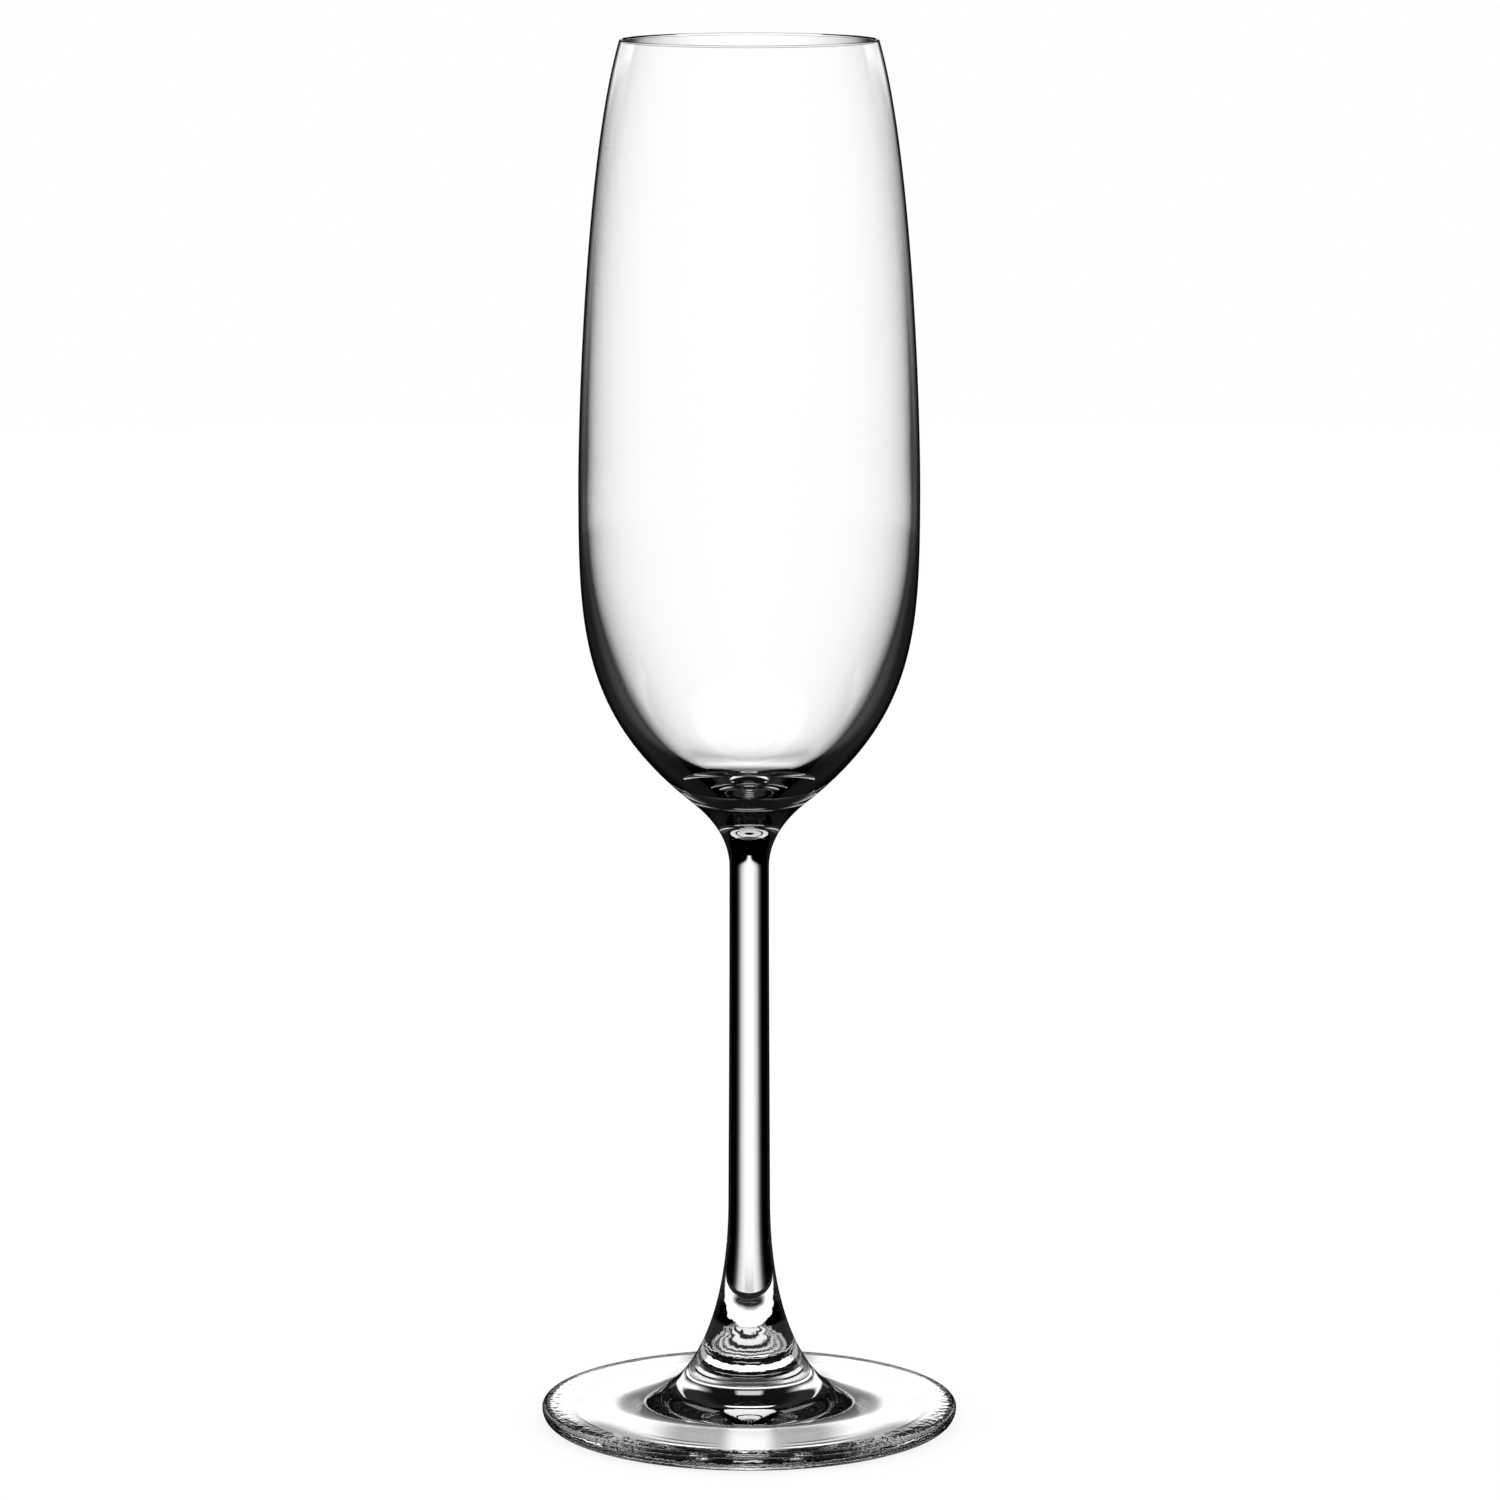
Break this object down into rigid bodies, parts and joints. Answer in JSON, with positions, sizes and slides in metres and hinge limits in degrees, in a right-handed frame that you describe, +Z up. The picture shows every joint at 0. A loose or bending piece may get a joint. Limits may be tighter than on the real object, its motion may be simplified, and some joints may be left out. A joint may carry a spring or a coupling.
{
  "type": "champagne flute",
  "caption": "Tall stemmed glass for sparkling wine: a slender tulip bowl that narrows to a thin rim, a slim solid stem that flares at both ends, and a wide flat foot.",
  "frame": {"origin": "on the flute's axis, in the plane of the resting ring under the foot", "axes": "+Z up along the axis of the bowl, stem and foot; X and Y are free, because the glass is turned"},
  "size_m": [0.0678, 0.0678, 0.225],
  "materials": {
    "blown_glass": "clear, fire-polished",
    "drawn_glass": "clear, drawn",
    "pressed_glass": "clear, pressed and polished"
  },
  "bodies": {
    "root": {"bowl": "blown_glass", "stem": "drawn_glass", "foot": "pressed_glass"}
  },
  "joints": []
}
